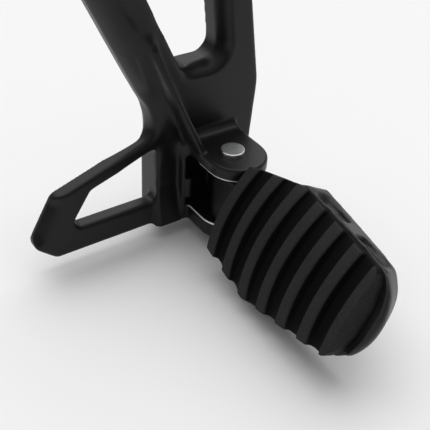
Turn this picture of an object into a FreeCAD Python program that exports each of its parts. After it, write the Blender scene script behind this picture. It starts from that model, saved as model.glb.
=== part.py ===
"""Passenger footpeg of a motorcycle: a folding rubber-topped peg in the clevis of its cast hanger bracket.

All lengths are in millimetres and angles in degrees. Every piece is drawn round the pivot: x to the right in
the plane of the bracket's plate, y towards the plate, z up along the pivot pin, with z = 0 halfway between
the two ears. The peg's own pieces are drawn in the peg's frame: x outwards along the peg, y along the ribs and
z out of the rubber. The placements then move the pivot to its place below the two frame bolts, whose middle,
on the bracket's back face, is the origin of the whole part.
"""
import FreeCAD, Part
import math
import os
import Sketcher

SIZES = {
    # Where the pivot lies, seen from the middle of the two frame bolts
    "bolt_spacing": (62.0, "between the two frame bolt holes"),
    "bolt_hole": (8.5, "diameter of a frame bolt hole"),
    "boss_radius": (12.0, "round end of an arm"),
    "pivot_right": (25.0, "pivot, to the right of the bolts' middle"),
    "pivot_drop": (117.5, "pivot, below the bolts"),
    # Back plate, column and arms
    "plate_setback": (19.0, "plate's front face, behind the pivot"),
    "plate_depth": (15.0, "thickness of plate and arms"),
    "plate_edge_round": (1.6, "rounding of the casting's front edges"),
    "column_left": (26.0, "left side of the column, from the pivot"),
    "hub_side_right": (24.0, "right side of the plate beside the clevis"),
    "hub_side_height": (2.0, "height of that corner"),
    "hub_wide_right": (26.2, "widest point of the right side"),
    "hub_wide_height": (40.0, "height of the widest point"),
    "hub_bend_round": (24.0, "soft bends of the right side"),
    "hub_foot_round": (4.0, "rounding of the lower right corner"),
    "crotch_right": (7.4, "right lower corner of the gap between the arms"),
    "crotch_left": (14.3, "left lower corner of the gap between the arms"),
    "crotch_height": (53.5, "lower edge of the gap between the arms"),
    "crotch_round": (7.0, "rounding of the gap's lower corners"),
    "right_arm_width": (13.6, "right arm at its boss, measured level"),
    "left_arm_width": (21.2, "left arm at its boss, measured level"),
    "left_arm_root": (34.0, "height where the left arm leaves the column"),
    "left_bend_round": (9.0, "rounding where the left arm leaves the column"),
    "hollow_depth": (9.0, "hollow in the back of each arm"),
    "hollow_side": (4.5, "wall beside an arm's hollow, measured level"),
    "hollow_head": (99.0, "upper end of the arms' hollows, above the peg's axis"),
    "hollow_foot": (58.0, "lower end of the arms' hollows, above the peg's axis"),
    "hollow_round": (2.4, "rounding of the hollows' corners"),
    # Open triangular fin
    "fin_depth": (7.0, "thickness of the fin"),
    "fin_foot_left": (75.8, "lower left corner"),
    "fin_tip_left": (85.9, "outermost tip"),
    "fin_tip_drop": (11.6, "tip, below the pivot's middle"),
    "fin_shoulder_left": (73.9, "upper left corner"),
    "fin_shoulder_height": (9.7, "height of the upper left corner"),
    "fin_root_height": (26.0, "top of the upper bar at the column"),
    "fin_corner_round": (4.0, "rounding of the fin's outer corners"),
    "fin_neck_round": (8.0, "rounding between upper bar and left arm"),
    "window_foot_left": (69.0, "lower left corner of the fin's window"),
    "window_sill_drop": (8.2, "lower edge of the window, below the pivot's middle"),
    "window_top_left": (58.0, "upper left corner of the window"),
    "window_top_height": (9.0, "height of that corner"),
    "window_root_height": (19.4, "top of the window at the column"),
    "window_round": (3.5, "rounding of the window's corners"),
    # Clevis
    "slot_top": (14.0, "underside of the upper ear, above the peg's axis"),
    "slot_bottom": (12.5, "top of the lower ear, below the peg's axis"),
    "upper_ear_thickness": (6.5, "upper ear"),
    "lower_ear_thickness": (8.0, "lower ear"),
    "ear_half_width": (13.5, "half width and nose radius of an ear"),
    "ear_centre": (1.25, "ear's middle, to the right of the pivot"),
    "upper_nose": (1.3, "centre of the upper ear's nose, in front of the pivot"),
    "lower_nose": (3.7, "centre of the lower ear's nose, behind the pivot"),
    "ear_bare_edge": (0.6, "machined chamfer on the ears' inner edges"),
    "ear_top_round": (0.8, "rounding of the upper ear's top edge"),
    "root_front": (15.0, "front of the clevis root, behind the pivot"),
    "root_left": (15.3, "left side of the clevis root"),
    "cheek_inner": (13.0, "inner side of the slot's left cheek"),
    "root_round": (5.0, "fillet between the upper ear and the plate"),
    "plate_bite": (1.0, "how far added forms run into the plate"),
    "cheek_round": (1.5, "rounding of the cheek's front edge"),
    "gusset_round": (1.2, "rounding of the gusset's ridges"),
    "lug_inner": (9.8, "inner side of the cast lug in the slot"),
    "lug_front": (13.5, "front of the lug, behind the pivot"),
    "lug_top": (2.5, "top of the lug"),
    "lug_bottom": (8.0, "bottom of the lug, below the pivot's middle"),
    "stop_left": (1.0, "left side of the stop pad behind the heel"),
    "stop_right": (9.0, "right side of the stop pad"),
    "stop_height": (16.0, "height of the stop pad"),
    "foot_left": (28.6, "left side of the column's foot, where it has spread"),
    "foot_start": (1.0, "where the column's foot starts to spread, below the peg's axis"),
    "foot_inner": (12.0, "right side of the foot, inside the clevis root"),
    "foot_bevel": (2.4, "bevel of the foot's front edge, where it has spread"),
    "foot_start_bevel": (0.4, "the same where it starts"),
    # Gusset from the left arm down to the upper ear
    "gusset_foot_right": (8.9, "right side of its foot, left of the pivot"),
    "gusset_foot_front": (5.5, "front of its foot, behind the pivot"),
    "gusset_foot_sink": (1.0, "its foot, below the upper ear's top"),
    "gusset_head_left": (33.5, "left side of its upper end"),
    "gusset_head_right": (29.5, "right side of its upper end"),
    "gusset_head_height": (73.0, "height of its upper end"),
    "gusset_head_rise": (1.4, "upper end, proud of the plate"),
    "base_rise": (1.0, "slab below the gusset, proud of the plate"),
    "base_head_left": (38.2, "left side of the slab's upper end"),
    # Pivot pin and its lock
    "pin_radius": (4.0, "shank of the pin"),
    "pin_head_radius": (5.25, "head of the pin"),
    "pin_head_height": (2.0, "head of the pin"),
    "pin_head_round": (0.5, "rounded edge of the head"),
    "pin_tail": (3.0, "pin beyond its clip groove"),
    "pin_tail_chamfer": (0.8, "chamfer of the pin's lower end"),
    "ear_bore_clearance": (0.03, "pin in the ears, on the radius"),
    "tongue_bore_clearance": (0.06, "pin in the tongue, on the radius"),
    "washer_radius": (8.0, "washer below the lower ear"),
    "washer_thickness": (1.6, "washer below the lower ear"),
    "clip_radius": (7.5, "outside of the clip"),
    "clip_thickness": (1.0, "clip"),
    "clip_mouth": (5.6, "opening of the clip"),
    "groove_radius": (3.0, "pin at the bottom of its clip groove"),
    # Peg: how it sits on the pivot
    "pad_tilt": (28.63, "turn of the rubber's face about the peg's axis"),
    "pad_shift": (1.1, "middle of the pad's inner part, below the peg's axis along the ribs"),
    "end_shift": (0.1, "middle of the pad's outer end, above the peg's axis along the ribs"),
    "tray_end_shift": (0.9, "middle of the tray's outer end, above the peg's axis along the ribs"),
    "seat_height": (8.0, "tray's top, from the peg's axis"),
    # Rubber pad
    "pad_start": (15.2, "inner end of the pad, from the pivot"),
    "pad_start_half": (20.4, "half width there"),
    "pad_wide": (42.0, "widest place of the pad, from the pivot"),
    "pad_wide_half": (27.2, "half width there"),
    "pad_shoulder": (90.3, "where the outer end begins, from the pivot"),
    "pad_shoulder_half": (19.5, "half width there"),
    "pad_bow": (95.0, "corner of the rounded outer end, from the pivot"),
    "pad_bow_half": (14.3, "half width there"),
    "pad_end": (97.3, "outer end of the pad, from the pivot"),
    "pad_end_half": (6.0, "half width there"),
    "pad_corner_round": (4.0, "rounding of the pad's corners"),
    "crown_top": (17.2, "top of the crests at their middle, from the peg's axis"),
    "crown_radius": (58.0, "curve of the crests along the ribs"),
    "crest_first": (20.3, "outer edge of the first crest, from the pivot"),
    "rib_pitch": (12.13, "from crest to crest"),
    "groove_width": (7.3, "groove, at the top"),
    "groove_depth": (4.4, "groove, at its middle"),
    "groove_floor_radius": (84.0, "curve of the groove's floor along the ribs"),
    "groove_steep": (0.9, "width of the groove's steep side"),
    "groove_floor": (2.2, "width of the groove's floor"),
    "groove_lip": (0.6, "run of the groove's upper wall on its gentle side"),
    "groove_lip_depth": (3.2, "depth of that wall"),
    "pad_slope_start": (93.5, "where the last crest starts to slope, from the pivot"),
    "pad_slope_drop": (6.0, "how far the last crest slopes down to the pad's end"),
    # Tray and tongue of the peg
    "tray_ledge": (0.8, "tray, proud of the pad's sides"),
    "tray_start": (16.2, "inner end of the tray, from the pivot"),
    "tray_start_half": (15.0, "half width there"),
    "tray_depth": (14.0, "tray, from its seat down to its lower edge"),
    "tray_shoulder": (91.5, "where the tray's outer end begins, from the pivot"),
    "tray_shoulder_half": (19.3, "half width there"),
    "tray_bow": (97.4, "corner of the tray's rounded end, from the pivot"),
    "tray_bow_half": (13.9, "half width there"),
    "tray_end": (101.5, "outer end of the tray, from the pivot"),
    "keel_shoulder": (87.2, "where the lower edge's outer end begins, from the pivot"),
    "keel_shoulder_half": (18.5, "half width there"),
    "keel_bow": (91.8, "corner of the lower edge's rounded end, from the pivot"),
    "keel_bow_half": (12.9, "half width there"),
    "keel_inset": (0.35, "lower edge, inside the tray's widest place"),
    "keel_end": (94.5, "outer end of the lower edge, from the pivot"),
    "rim_height": (3.2, "raised rim of the outer end, above the seat"),
    "rim_gap": (0.6, "between rim and pad"),
    "rim_round": (1.2, "rounding of the rim"),
    "pocket_first": (46.8, "start of the first side pocket, from the pivot"),
    "pocket_length": (16.3, "each side pocket"),
    "pocket_post": (7.9, "post between the side pockets"),
    "pocket_depth": (3.0, "side pocket, into the tray's side"),
    "pocket_lip": (1.4, "top lip above a side pocket"),
    "pocket_height": (8.0, "side pocket"),
    "pocket_round": (3.5, "rounding of a side pocket's lower corners"),
    "hollow_wall": (7.0, "tray's side wall beside the hollows below"),
    "hollow_roof": (5.0, "tray above the hollows"),
    "hollow_start": (33.0, "first hollow, from the pivot"),
    "hollow_first_half": (16.0, "half width of the first hollow at its inner end"),
    "hollow_length": (18.2, "each of the hollows that hold a screw head"),
    "hollow_last_length": (11.0, "outermost hollow"),
    "hollow_rib": (3.0, "rib between two hollows"),
    "tongue_half": (8.0, "half thickness of the tongue, and its heel radius"),
    "tongue_play": (0.3, "between tongue and ear"),
    "tongue_end": (28.0, "where the tongue ends in the tray, from the pivot"),
    "heel_back": (12.0, "stop face of the heel, behind the pivot"),
    "heel_gap": (0.05, "between heel and stop pad"),
    # Detent in the tongue
    "ball_radius": (2.5, "detent ball"),
    "ball_orbit": (9.3, "detent ball, from the pivot"),
    "ball_play": (0.03, "between ball and ear when the ball rides"),
    "ball_bore_clearance": (0.06, "ball in its bore, on the radius"),
    "ball_bore_depth": (14.0, "bore of ball and spring"),
    "dimple_depth": (0.8, "dimple in the ear"),
    "dimple_clearance": (0.15, "dimple's radius, over the ball's"),
    "fold_angle": (70.0, "turn between the two dimples"),
    "spring_wire": (0.7, "diameter of the spring's wire"),
    "spring_mean_radius": (1.9, "spring, to the middle of its wire"),
    "spring_turns": (5.0, "turns of the spring"),
    "spring_gap": (0.03, "between spring and ball"),
    # Pad screws and the bushes that take them
    "screw_first": (42.1, "first pad screw, from the pivot"),
    "screw_spacing": (24.26, "between the pad screws"),
    "screw_radius": (2.5, "shank of a pad screw"),
    "screw_hole_clearance": (0.3, "tray's screw hole, on the radius"),
    "screw_head_radius": (4.6, "head of a pad screw"),
    "screw_head_height": (2.8, "head of a pad screw"),
    "screw_socket": (1.5, "half width of the socket in a pad screw"),
    "screw_socket_depth": (1.5, "socket in a pad screw"),
    "insert_radius": (4.0, "threaded bush in the pad"),
    "insert_height": (3.8, "threaded bush in the pad"),
    "screw_tip_gap": (0.4, "screw's end, below the bush's end"),
}


class Dim:
    """A length with the sheet expression that gives it, so that arithmetic keeps both."""

    def __init__(self, text, value):
        self.text = text
        self.value = value

    def _join(self, sign, other, result):
        return Dim(f"({self.text} {sign} {as_dim(other).text})", result)

    def __add__(self, other):
        return self._join("+", other, self.value + as_dim(other).value)

    def __sub__(self, other):
        return self._join("-", other, self.value - as_dim(other).value)

    def __mul__(self, other):
        return self._join("*", other, self.value * as_dim(other).value)

    def __truediv__(self, other):
        return self._join("/", other, self.value / as_dim(other).value)

    def __neg__(self):
        return Dim(f"(-{self.text})", -self.value)

    def root(self):
        """Returns the square root."""
        return Dim(f"sqrt({self.text})", math.sqrt(self.value))


def as_dim(number):
    """Returns the number itself if it is a Dim, or else a Dim that holds it."""
    return number if isinstance(number, Dim) else Dim(f"{number:g}", float(number))


doc = FreeCAD.newDocument("passenger_footpeg")
sheet = doc.addObject("Spreadsheet::Sheet", "sizes")
d = {}
for row, (alias, (value, note)) in enumerate(SIZES.items(), start=1):
    sheet.set(f"A{row}", alias)
    sheet.set(f"B{row}", f"{value:g}")
    sheet.set(f"C{row}", note)
    sheet.setAlias(f"B{row}", alias)
    d[alias] = Dim(f"sizes.{alias}", value)
doc.recompute()

ZERO = Dim("0", 0.0)


def bind(thing, prop, dim):
    """Ties a property to the sheet."""
    thing.setExpression(prop, as_dim(dim).text)


def new_body(label):
    """Starts a piece."""
    body = doc.addObject("PartDesign::Body", label)
    body.Label = label
    return body


def origin_plane(body, role):
    """Returns one of the body's own origin planes."""
    return next(feature for feature in body.Origin.OriginFeatures if feature.Role == role)


def new_sketch(body, name, role, lift=ZERO, turn=None):
    """Starts a sketch on a plane parallel to an origin plane, lifted along its normal and turned about its x."""
    sketch = body.newObject("Sketcher::SketchObject", name)
    sketch.AttachmentSupport = [(origin_plane(body, role), "")]
    sketch.MapMode = "FlatFace"
    if turn is not None:
        sketch.AttachmentOffset = FreeCAD.Placement(
            FreeCAD.Vector(), FreeCAD.Rotation(FreeCAD.Vector(1, 0, 0), turn.value))
        bind(sketch, "AttachmentOffset.Rotation.Angle", turn)
        slant = math.radians(turn.value)
        sketch.setExpression("AttachmentOffset.Base.y", f"-({lift.text}) * sin({turn.text} * 1deg)")
        sketch.setExpression("AttachmentOffset.Base.z", f"({lift.text}) * cos({turn.text} * 1deg)")
        sketch.AttachmentOffset.Base = FreeCAD.Vector(
            0, -lift.value * math.sin(slant), lift.value * math.cos(slant))
    else:
        bind(sketch, "AttachmentOffset.Base.z", lift)
    return sketch


def hold(sketch, geometry, point, x, y):
    """Fixes a point of a sketch at x, y."""
    for axis, dim in (("DistanceX", as_dim(x)), ("DistanceY", as_dim(y))):
        index = sketch.addConstraint(Sketcher.Constraint(axis, -1, 1, geometry, point, dim.value))
        bind(sketch, f"Constraints[{index}]", dim)


def add_polygon(sketch, corners):
    """Adds a closed outline of straight sides."""
    first = sketch.GeometryCount
    count = len(corners)
    points = [FreeCAD.Vector(as_dim(x).value, as_dim(y).value, 0) for x, y in corners]
    for i in range(count):
        sketch.addGeometry(Part.LineSegment(points[i], points[(i + 1) % count]), False)
    for i in range(count):
        sketch.addConstraint(Sketcher.Constraint("Coincident", first + i, 2, first + (i + 1) % count, 1))
    for i, (x, y) in enumerate(corners):
        hold(sketch, first + i, 1, x, y)


def add_circle(sketch, x, y, radius):
    """Adds a circle."""
    radius = as_dim(radius)
    centre = FreeCAD.Vector(as_dim(x).value, as_dim(y).value, 0)
    index = sketch.addGeometry(Part.Circle(centre, FreeCAD.Vector(0, 0, 1), radius.value), False)
    hold(sketch, index, 3, x, y)
    bound = sketch.addConstraint(Sketcher.Constraint("Radius", index, radius.value))
    bind(sketch, f"Constraints[{bound}]", radius)


def add_inner_corner(sketch, x, y, radius, bite):
    """Adds the hollow-sided wedge that fills the corner between a floor at y and a wall at x."""
    first = sketch.GeometryCount
    corners = [(x, y + radius), (x + bite, y + radius), (x + bite, y - bite), (x - radius, y - bite), (x - radius, y)]
    points = [FreeCAD.Vector(u.value, v.value, 0) for u, v in corners]
    for start, end in zip(points, points[1:]):
        sketch.addGeometry(Part.LineSegment(start, end), False)
    centre = FreeCAD.Vector((x - radius).value, (y + radius).value, 0)
    circle = Part.Circle(centre, FreeCAD.Vector(0, 0, 1), radius.value)
    arc = sketch.addGeometry(Part.ArcOfCircle(circle, -math.pi / 2, 0), False)
    for i in range(3):
        sketch.addConstraint(Sketcher.Constraint("Coincident", first + i, 2, first + i + 1, 1))
    sketch.addConstraint(Sketcher.Constraint("Coincident", first + 3, 2, arc, 1))
    sketch.addConstraint(Sketcher.Constraint("Coincident", arc, 2, first, 1))
    for i, (u, v) in enumerate(corners[:4]):
        hold(sketch, first + i, 1, u, v)
    hold(sketch, arc, 3, x - radius, y + radius)
    foot = sketch.addConstraint(Sketcher.Constraint("DistanceX", -1, 1, arc, 1, (x - radius).value))
    bind(sketch, f"Constraints[{foot}]", x - radius)


def add_bowed(sketch, corners, end, middle):
    """Adds an outline of straight sides through the corners, closed by a round end from the last to the first.

    The round end bulges to the place given by end and is centred on the middle line.
    """
    first = sketch.GeometryCount
    points = [FreeCAD.Vector(x.value, y.value, 0) for x, y in corners]
    for start, stop in zip(points, points[1:]):
        sketch.addGeometry(Part.LineSegment(start, stop), False)
    last = len(corners) - 1
    for i in range(last - 1):
        sketch.addConstraint(Sketcher.Constraint("Coincident", first + i, 2, first + i + 1, 1))
    for i in range(last):
        hold(sketch, first + i, 1, *corners[i])
    hold(sketch, first + last - 1, 2, *corners[last])
    rise = end - corners[0][0]
    half = corners[0][1] - middle
    radius = (half * half + rise * rise) / (rise * 2)
    centre = FreeCAD.Vector((end - radius).value, middle.value, 0)
    spread = math.asin(abs(half.value) / radius.value)
    circle = Part.Circle(centre, FreeCAD.Vector(0, 0, 1), radius.value)
    arc = sketch.addGeometry(Part.ArcOfCircle(circle, -spread, spread), False)
    low, high = ((first, 1), (first + last - 1, 2)) if half.value < 0 else ((first + last - 1, 2), (first, 1))
    sketch.addConstraint(Sketcher.Constraint("Coincident", arc, 1, *low))
    sketch.addConstraint(Sketcher.Constraint("Coincident", arc, 2, *high))
    seat_of_arc = sketch.addConstraint(Sketcher.Constraint("DistanceX", -1, 1, arc, 3, centre.x))
    bind(sketch, f"Constraints[{seat_of_arc}]", end - radius)


def box(low_x, low_y, high_x, high_y):
    """Returns the corners of a level rectangle."""
    return [(low_x, low_y), (high_x, low_y), (high_x, high_y), (low_x, high_y)]


def bevelled(low_x, low_y, high_x, high_y, bevel):
    """Returns the corners of a level rectangle whose first corner is bevelled."""
    return [(low_x, low_y + bevel), (low_x + bevel, low_y), (high_x, low_y), (high_x, high_y), (low_x, high_y)]


def settle(feature):
    """Recomputes the document and makes sure that the new feature worked."""
    doc.recompute()
    if feature.Shape.isNull() or not feature.isValid() or not feature.Shape.isValid():
        raise RuntimeError(f"{feature.Label} can't be made")
    return feature


def loft(body, name, low, high):
    """Adds a form with straight rulings between two outlines."""
    feature = body.newObject("PartDesign::AdditiveLoft", name)
    feature.Profile = low
    feature.Sections = [high]
    feature.Ruled = True
    return settle(feature)


def pad(body, name, sketch, length, reverse=False, both=False):
    """Adds a sketch's outline to the piece, drawn out along its normal."""
    feature = body.newObject("PartDesign::Pad", name)
    feature.Profile = sketch
    bind(feature, "Length", length)
    feature.Reversed = reverse
    if both:
        feature.SideType = "Symmetric"
    return settle(feature)


def pocket(body, name, sketch, length, reverse=False, both=False):
    """Cuts a sketch's outline out of the piece, against its normal unless reversed."""
    before = body.Shape.Volume
    feature = body.newObject("PartDesign::Pocket", name)
    feature.Profile = sketch
    bind(feature, "Length", length)
    feature.Reversed = reverse
    if both:
        feature.SideType = "Symmetric"
    settle(feature)
    if feature.Shape.Volume > before - 1e-3:
        raise RuntimeError(f"{name} cuts nothing")
    return feature


def turned(body, name, sketch, angle=None):
    """Adds a sketch's outline to the piece, turned about its x axis, all the way or symmetrically."""
    feature = body.newObject("PartDesign::Revolution", name)
    feature.Profile = sketch
    feature.ReferenceAxis = (sketch, ["H_Axis"])
    feature.Angle = 360.0 if angle is None else angle
    feature.Midplane = angle is not None
    return settle(feature)


def round_edges(body, name, radius, chosen):
    """Rounds the edges of the piece that the test chooses."""
    return finish_edges(body, "PartDesign::Fillet", name, "Radius", radius, chosen)


def finish_edges(body, kind, name, prop, size, chosen):
    """Rounds or chamfers the edges of the piece that the test chooses."""
    base = body.Tip
    edges = [f"Edge{i}" for i, edge in enumerate(base.Shape.Edges, start=1) if chosen(edge)]
    if not edges:
        raise RuntimeError(f"{name} finds no edge")
    feature = body.newObject(kind, name)
    feature.Base = (base, edges)
    bind(feature, prop, size)
    return settle(feature)


def near(a, b, slack=1e-3):
    """Says whether two lengths are the same."""
    return abs(a - b) < slack


def upright(edge, axis):
    """Says whether an edge is straight and parallel to an axis, 0 to 2."""
    if edge.Curve.TypeId != "Part::GeomLine":
        return False
    direction = edge.Curve.Direction
    return abs(abs((direction.x, direction.y, direction.z)[axis]) - 1) < 1e-6


def corner_test(axis, corners):
    """Returns a test for straight edges along an axis through any of the given corners of a plan."""
    others = [i for i in range(3) if i != axis]

    def test(edge):
        if not upright(edge, axis):
            return False
        place = edge.CenterOfMass
        spot = [(place.x, place.y, place.z)[i] for i in others]
        return any(near(spot[0], as_dim(u).value) and near(spot[1], as_dim(v).value) for u, v in corners)

    return test


def on_level(edge, axis, level):
    """Says whether an edge lies in a plane across an axis."""
    box_of = edge.BoundBox
    low = (box_of.XMin, box_of.YMin, box_of.ZMin)[axis]
    high = (box_of.XMax, box_of.YMax, box_of.ZMax)[axis]
    return near(low, level, 1e-2) and near(high, level, 1e-2)


# Places that several pieces share
plate_front = d["plate_setback"]
plate_back = plate_front + d["plate_depth"]
ear_inner = d["slot_top"]
ear_outer = ear_inner + d["upper_ear_thickness"]
slot_floor = -d["slot_bottom"]
ear_foot = slot_floor - d["lower_ear_thickness"]
ear_left = d["ear_centre"] - d["ear_half_width"]
ear_right = d["ear_centre"] + d["ear_half_width"]
boss_left = -d["pivot_right"] - d["bolt_spacing"] / 2
boss_right = d["bolt_spacing"] / 2 - d["pivot_right"]
boss_height = d["pivot_drop"]
tongue_top = ear_inner - d["tongue_play"]
tongue_foot = slot_floor + d["tongue_play"]
tongue_height = tongue_top - tongue_foot
seat = d["seat_height"]
ball_rest = ear_inner - d["ball_play"] - d["ball_radius"]
spring_foot = tongue_top - d["ball_bore_depth"]
spring_bore = d["spring_mean_radius"] - d["spring_wire"] / 2
spring_seat = (d["ball_radius"] * d["ball_radius"] - spring_bore * spring_bore).root()
spring_height = ball_rest - spring_seat - d["spring_gap"] - spring_foot
insert_top = seat + d["insert_height"]
hollow_top = seat - d["hollow_roof"]
pad_middle = -d["pad_shift"]
end_middle = d["end_shift"]
tray_middle = d["tray_end_shift"]
screw_places = [d["screw_first"], d["screw_first"] + d["screw_spacing"]]


def build_bracket():
    """The cast hanger bracket: plate, arms, fin, column, clevis and gusset."""
    body = new_body("bracket")

    arms = [
        (ear_right, ear_foot),
        (d["hub_side_right"], d["hub_side_height"]),
        (d["hub_wide_right"], d["hub_wide_height"]),
        (boss_right + d["right_arm_width"] / 2, boss_height),
        (boss_right - d["right_arm_width"] / 2, boss_height),
        (d["crotch_right"], d["crotch_height"]),
        (-d["crotch_left"], d["crotch_height"]),
        (boss_left + d["left_arm_width"] / 2, boss_height),
        (boss_left - d["left_arm_width"] / 2, boss_height),
        (-d["column_left"], d["left_arm_root"]),
        (-d["column_left"], ear_foot),
    ]
    sketch = new_sketch(body, "plate_outline", "XZ_Plane", -plate_back)
    add_polygon(sketch, arms)
    pad(body, "plate", sketch, d["plate_depth"])

    sketch = new_sketch(body, "boss_outline", "XZ_Plane", -plate_back)
    for place in (boss_left, boss_right):
        add_circle(sketch, place, boss_height, d["boss_radius"])
    pad(body, "bosses", sketch, d["plate_depth"])

    fin_back = plate_front + d["fin_depth"]
    inside_column = -d["column_left"] + d["plate_bite"]
    shoulder = (-d["fin_shoulder_left"], d["fin_shoulder_height"])
    outer = [
        (-d["fin_foot_left"], ear_foot),
        (inside_column, ear_foot),
        (inside_column, d["fin_root_height"]),
        (-d["column_left"], d["fin_root_height"]),
        shoulder,
        (-d["fin_tip_left"], -d["fin_tip_drop"]),
    ]
    window = [
        (-d["window_foot_left"], -d["window_sill_drop"]),
        (-d["column_left"], -d["window_sill_drop"]),
        (-d["column_left"], d["window_root_height"]),
        (-d["window_top_left"], d["window_top_height"]),
    ]
    sketch = new_sketch(body, "fin_outline", "XZ_Plane", -fin_back)
    add_polygon(sketch, outer)
    add_polygon(sketch, window)
    pad(body, "fin", sketch, d["fin_depth"])

    round_edges(body, "gap_corners", d["crotch_round"], corner_test(1, arms[5:7]))
    round_edges(body, "left_bend", d["left_bend_round"], corner_test(1, [arms[9]]))
    round_edges(body, "side_bends", d["hub_bend_round"], corner_test(1, arms[1:3]))
    round_edges(body, "low_corner", d["hub_foot_round"], corner_test(1, arms[:1]))
    round_edges(body, "fin_corners", d["fin_corner_round"], corner_test(1, [outer[0], outer[4], outer[5]]))
    round_edges(body, "fin_neck", d["fin_neck_round"], corner_test(1, [outer[3]]))
    round_edges(body, "window_corners", d["window_round"], corner_test(1, [window[0], window[1], window[3]]))
    round_edges(body, "front_edges", d["plate_edge_round"],
                lambda edge: on_level(edge, 1, plate_front.value))

    sketch = new_sketch(body, "bolt_holes", "XZ_Plane", -plate_back)
    for place in (boss_left, boss_right):
        add_circle(sketch, place, boss_height, d["bolt_hole"] / 2)
    pocket(body, "bolt_bores", sketch, d["plate_depth"], reverse=True)

    sketch = new_sketch(body, "arm_hollow_outline", "XZ_Plane", -plate_back)
    hollow_corners = []
    for low_side, high_side in (((arms[8], arms[9]), (arms[6], arms[7])), ((arms[4], arms[5]), (arms[2], arms[3]))):
        sides = [(line_at(*low_side, level) + d["hollow_side"], line_at(*high_side, level) - d["hollow_side"])
                 for level in (d["hollow_foot"], d["hollow_head"])]
        corners = [
            (sides[0][0], d["hollow_foot"]), (sides[0][1], d["hollow_foot"]),
            (sides[1][1], d["hollow_head"]), (sides[1][0], d["hollow_head"]),
        ]
        add_polygon(sketch, corners)
        hollow_corners += corners
    pocket(body, "arm_hollows", sketch, d["hollow_depth"], reverse=True)
    round_edges(body, "hollow_corners", d["hollow_round"], corner_test(1, hollow_corners))

    build_clevis(body)
    return body


def line_at(low, high, level):
    """Returns where the line between two points of a plan crosses a level."""
    share = (level - low[1]) / (high[1] - low[1])
    return low[0] + (high[0] - low[0]) * share


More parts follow.
